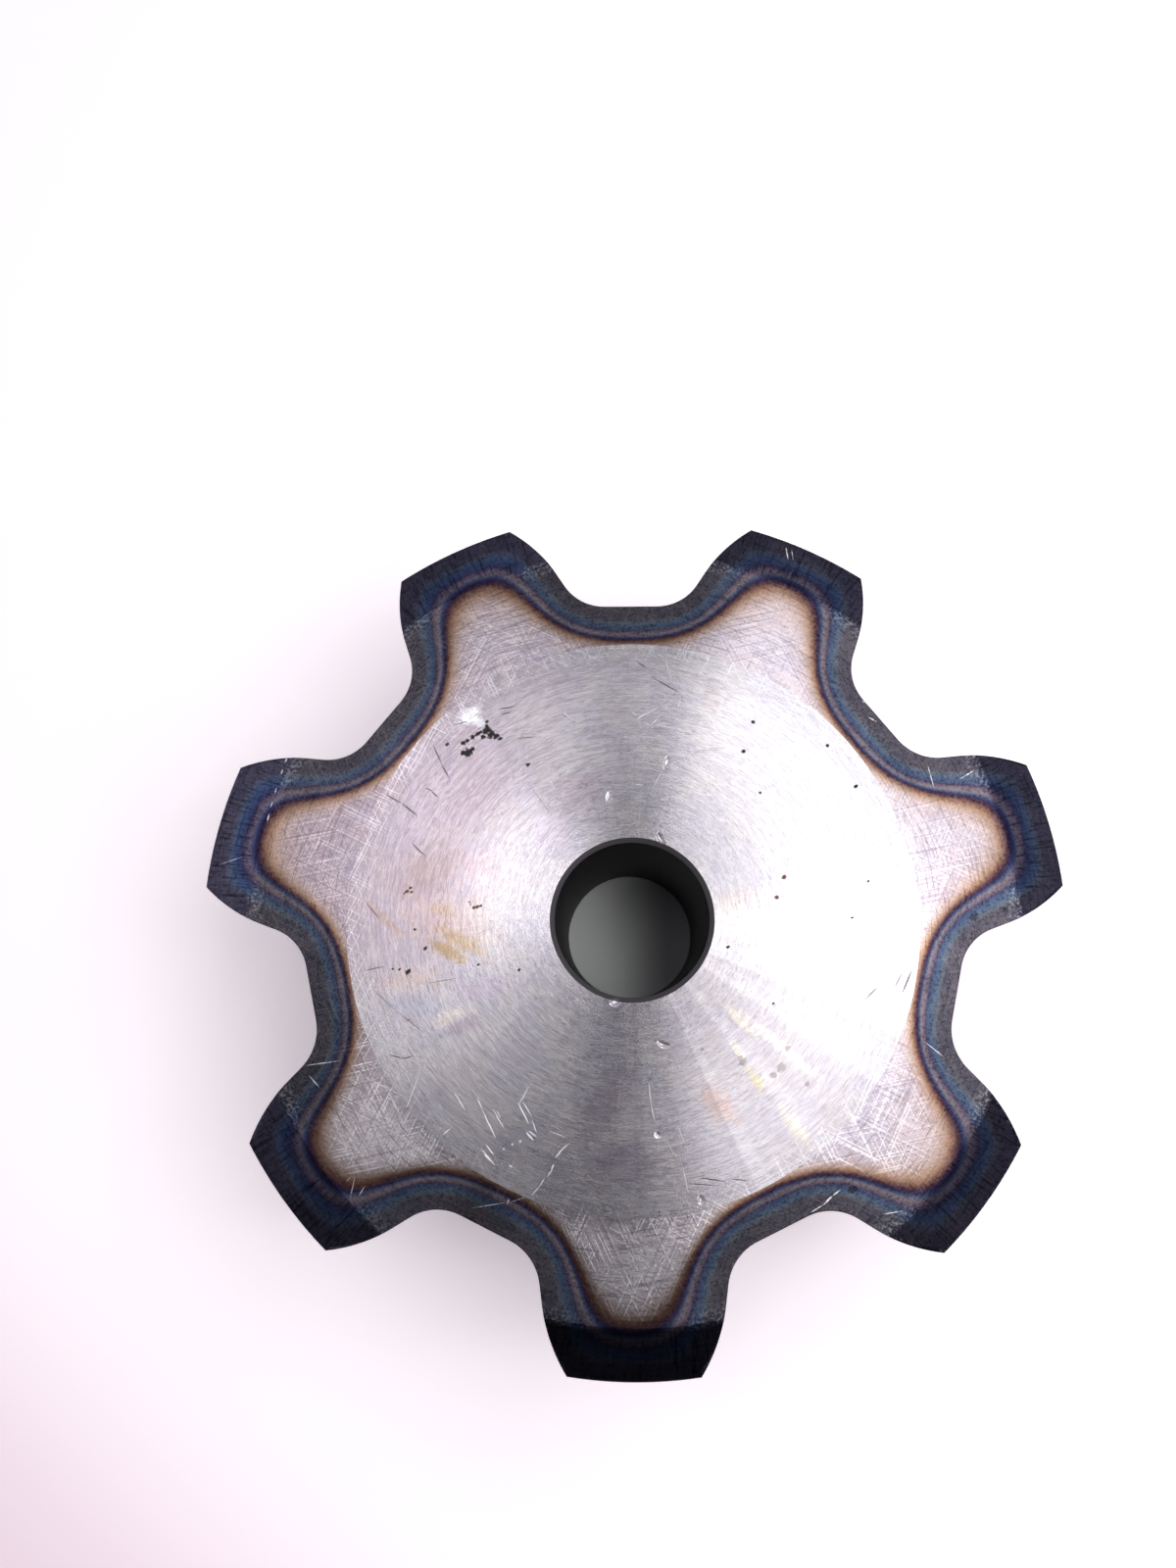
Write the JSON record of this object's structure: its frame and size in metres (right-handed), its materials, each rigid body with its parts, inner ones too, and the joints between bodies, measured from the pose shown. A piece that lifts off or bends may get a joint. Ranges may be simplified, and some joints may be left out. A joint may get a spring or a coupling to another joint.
{
  "type": "chain sprocket",
  "caption": "Steel chain sprocket with broad bevelled teeth, heat-tinted at their edges, a plain chamfered bore and a round hub on one side.",
  "frame": {"origin": "on the bore's axis, at the middle of the toothed plate's thickness, where the chain runs", "axes": "+Z along the bore, leaving through the flush face; the hub points along -Z; one tooth points along -Y"},
  "size_m": [0.1448, 0.1419, 0.054],
  "materials": {
    "machined_steel": "faced and ground bright steel, with blue and straw heat tint at the hardened teeth"
  },
  "bodies": {
    "root": {"sprocket": "machined_steel"}
  },
  "joints": []
}
